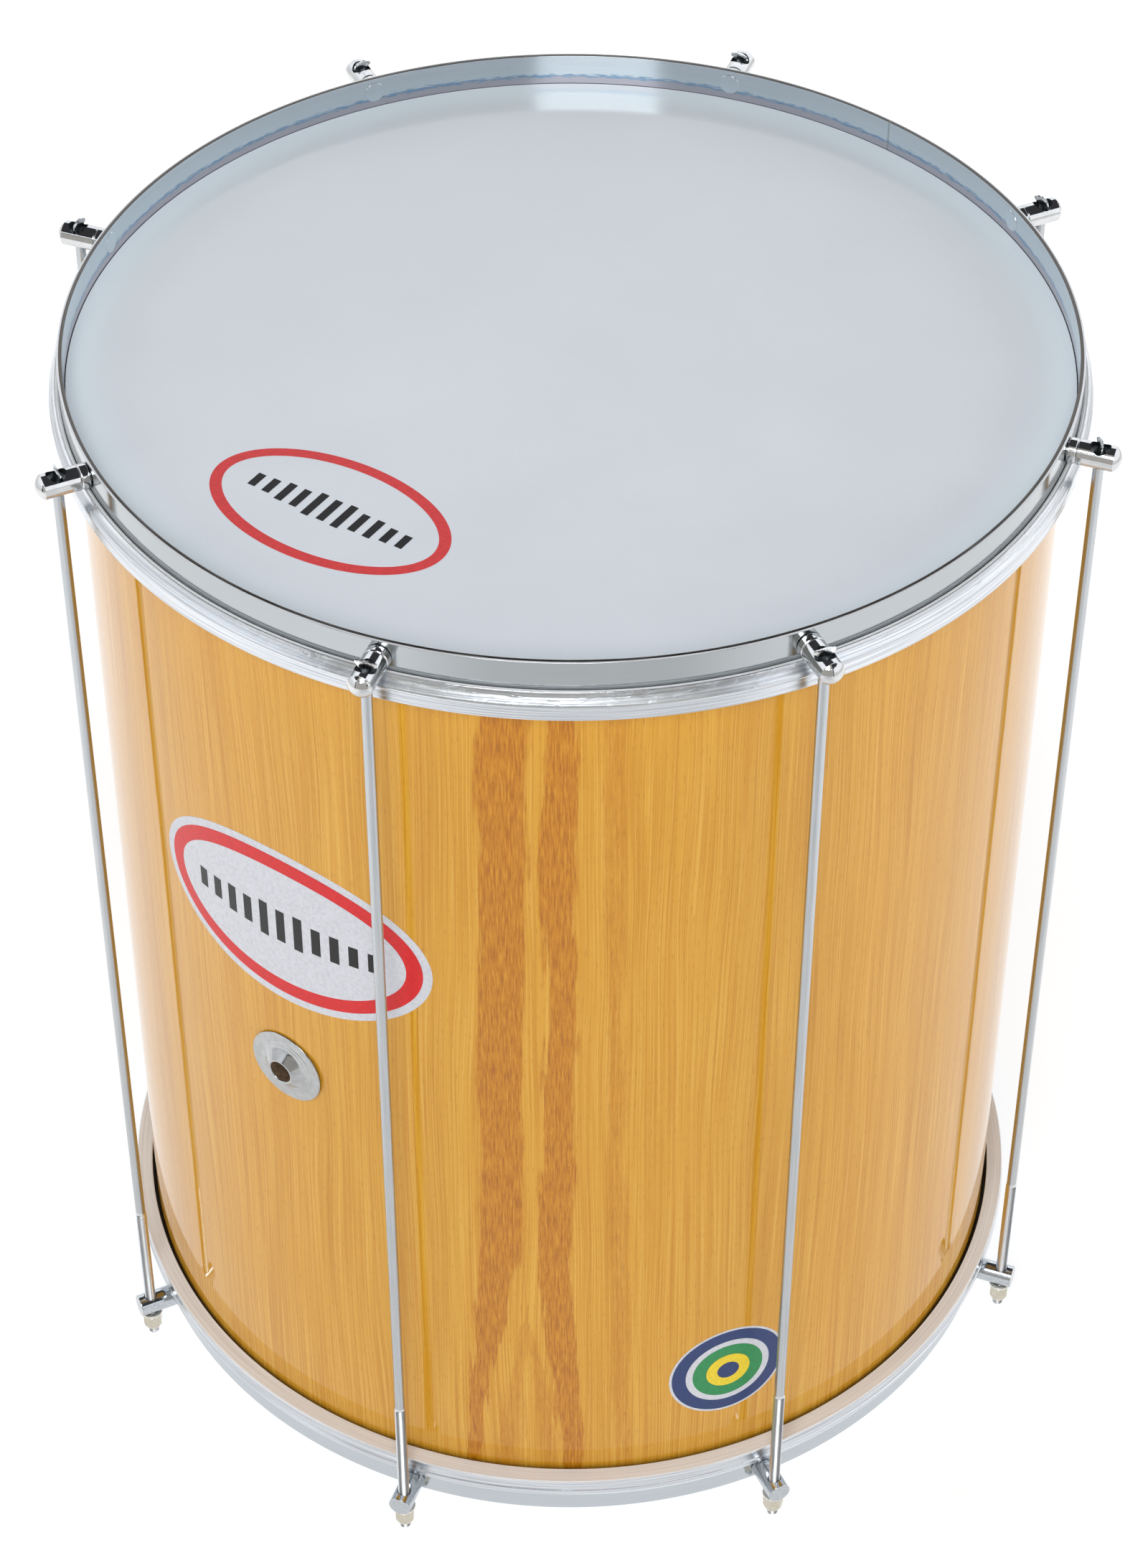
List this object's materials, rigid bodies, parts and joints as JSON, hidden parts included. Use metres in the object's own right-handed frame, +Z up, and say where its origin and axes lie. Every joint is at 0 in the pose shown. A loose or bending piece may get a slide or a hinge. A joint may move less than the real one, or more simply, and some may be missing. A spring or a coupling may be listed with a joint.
{
  "type": "surdo",
  "caption": "Deep double-headed samba bass drum: a tall wooden shell with a film head at each end, drawn tight by hooked steel tension rods between flat hoops.",
  "frame": {"origin": "on the floor under the drum's axis, at the level of the rod tips", "axes": "+Z up along the drum's axis; -Y is the front, midway between two tension rods, with the vent to its left"},
  "size_m": [0.5324, 0.5324, 0.6551],
  "materials": {
    "shell_wood": "gloss lacquered honey-coloured veneer with a fine straight grain",
    "head_film": "smooth milky film",
    "hoop_steel": "plated flat steel strip",
    "flesh_aluminium": "bright ribbed extrusion",
    "lug_chrome": "polished chrome on turned bar",
    "lug_zinc": "satin zinc on turned bar",
    "rod_steel": "satin zinc-plated rod with a rolled thread",
    "nut_nickel": "warm satin nickel",
    "washer_zinc": "satin zinc",
    "vent_chrome": "polished chrome on a spun disc",
    "vent_nut_nickel": "satin nickel"
  },
  "bodies": {
    "drum_body": {"shell": "shell_wood", "top_head": "head_film", "bottom_head": "head_film", "vent_flange": "vent_chrome", "vent_ring_nut": "vent_nut_nickel"},
    "top_rim": {"top_counter_hoop": "hoop_steel", "top_flesh_hoop": "flesh_aluminium", "top_lug_1": "lug_chrome", "top_lug_2": "lug_chrome", "top_lug_3": "lug_chrome", "top_lug_4": "lug_chrome", "top_lug_5": "lug_chrome", "top_lug_6": "lug_chrome", "top_lug_7": "lug_chrome", "top_lug_8": "lug_chrome", "tension_rod_1": "rod_steel", "tension_rod_2": "rod_steel", "tension_rod_3": "rod_steel", "tension_rod_4": "rod_steel", "tension_rod_5": "rod_steel", "tension_rod_6": "rod_steel", "tension_rod_7": "rod_steel", "tension_rod_8": "rod_steel"},
    "bottom_rim": {"bottom_counter_hoop": "hoop_steel", "bottom_flesh_hoop": "flesh_aluminium", "bottom_lug_1": "lug_zinc", "bottom_lug_2": "lug_zinc", "bottom_lug_3": "lug_zinc", "bottom_lug_4": "lug_zinc", "bottom_lug_5": "lug_zinc", "bottom_lug_6": "lug_zinc", "bottom_lug_7": "lug_zinc", "bottom_lug_8": "lug_zinc", "washer_1": "washer_zinc", "washer_2": "washer_zinc", "washer_3": "washer_zinc", "washer_4": "washer_zinc", "washer_5": "washer_zinc", "washer_6": "washer_zinc", "washer_7": "washer_zinc", "washer_8": "washer_zinc"},
    "nut_1": {"tension_nut_1": "nut_nickel"},
    "nut_2": {"tension_nut_2": "nut_nickel"},
    "nut_3": {"tension_nut_3": "nut_nickel"},
    "nut_4": {"tension_nut_4": "nut_nickel"},
    "nut_5": {"tension_nut_5": "nut_nickel"},
    "nut_6": {"tension_nut_6": "nut_nickel"},
    "nut_7": {"tension_nut_7": "nut_nickel"},
    "nut_8": {"tension_nut_8": "nut_nickel"}
  },
  "joints": [
    {"name": "top_rim_draw", "type": "slide", "parent": "drum_body", "child": "top_rim", "axis": [0, 0, -1], "range_m": [-0.0025, 0.003], "deforming": ["top_head"]},
    {"name": "bottom_rim_draw", "type": "slide", "parent": "drum_body", "child": "bottom_rim", "axis": [0, 0, 1], "range_m": [-0.0025, 0.003], "deforming": ["bottom_head"]},
    {"name": "nut_1_turn", "type": "hinge", "parent": "bottom_rim", "child": "nut_1", "pos_m": [0.10562, -0.25499, 0.011], "axis": [0, 0, 1], "range_deg": [-1419, 1702]},
    {"name": "nut_2_turn", "type": "hinge", "parent": "bottom_rim", "child": "nut_2", "pos_m": [0.25499, -0.10562, 0.011], "axis": [0, 0, 1], "range_deg": [-1419, 1702]},
    {"name": "nut_3_turn", "type": "hinge", "parent": "bottom_rim", "child": "nut_3", "pos_m": [0.25499, 0.10562, 0.011], "axis": [0, 0, 1], "range_deg": [-1419, 1702]},
    {"name": "nut_4_turn", "type": "hinge", "parent": "bottom_rim", "child": "nut_4", "pos_m": [0.10562, 0.25499, 0.011], "axis": [0, 0, 1], "range_deg": [-1419, 1702]},
    {"name": "nut_5_turn", "type": "hinge", "parent": "bottom_rim", "child": "nut_5", "pos_m": [-0.10562, 0.25499, 0.011], "axis": [0, 0, 1], "range_deg": [-1419, 1702]},
    {"name": "nut_6_turn", "type": "hinge", "parent": "bottom_rim", "child": "nut_6", "pos_m": [-0.25499, 0.10562, 0.011], "axis": [0, 0, 1], "range_deg": [-1419, 1702]},
    {"name": "nut_7_turn", "type": "hinge", "parent": "bottom_rim", "child": "nut_7", "pos_m": [-0.25499, -0.10562, 0.011], "axis": [0, 0, 1], "range_deg": [-1419, 1702]},
    {"name": "nut_8_turn", "type": "hinge", "parent": "bottom_rim", "child": "nut_8", "pos_m": [-0.10562, -0.25499, 0.011], "axis": [0, 0, 1], "range_deg": [-1419, 1702]}
  ],
  "couplings": [
    {"joint": "bottom_rim_draw", "follows": "top_rim_draw", "ratio": 1},
    {"joint": "nut_1_turn", "follows": "top_rim_draw", "rad_per_m": 9894.8},
    {"joint": "nut_2_turn", "follows": "top_rim_draw", "rad_per_m": 9894.8},
    {"joint": "nut_3_turn", "follows": "top_rim_draw", "rad_per_m": 9894.8},
    {"joint": "nut_4_turn", "follows": "top_rim_draw", "rad_per_m": 9894.8},
    {"joint": "nut_5_turn", "follows": "top_rim_draw", "rad_per_m": 9894.8},
    {"joint": "nut_6_turn", "follows": "top_rim_draw", "rad_per_m": 9894.8},
    {"joint": "nut_7_turn", "follows": "top_rim_draw", "rad_per_m": 9894.8},
    {"joint": "nut_8_turn", "follows": "top_rim_draw", "rad_per_m": 9894.8}
  ]
}
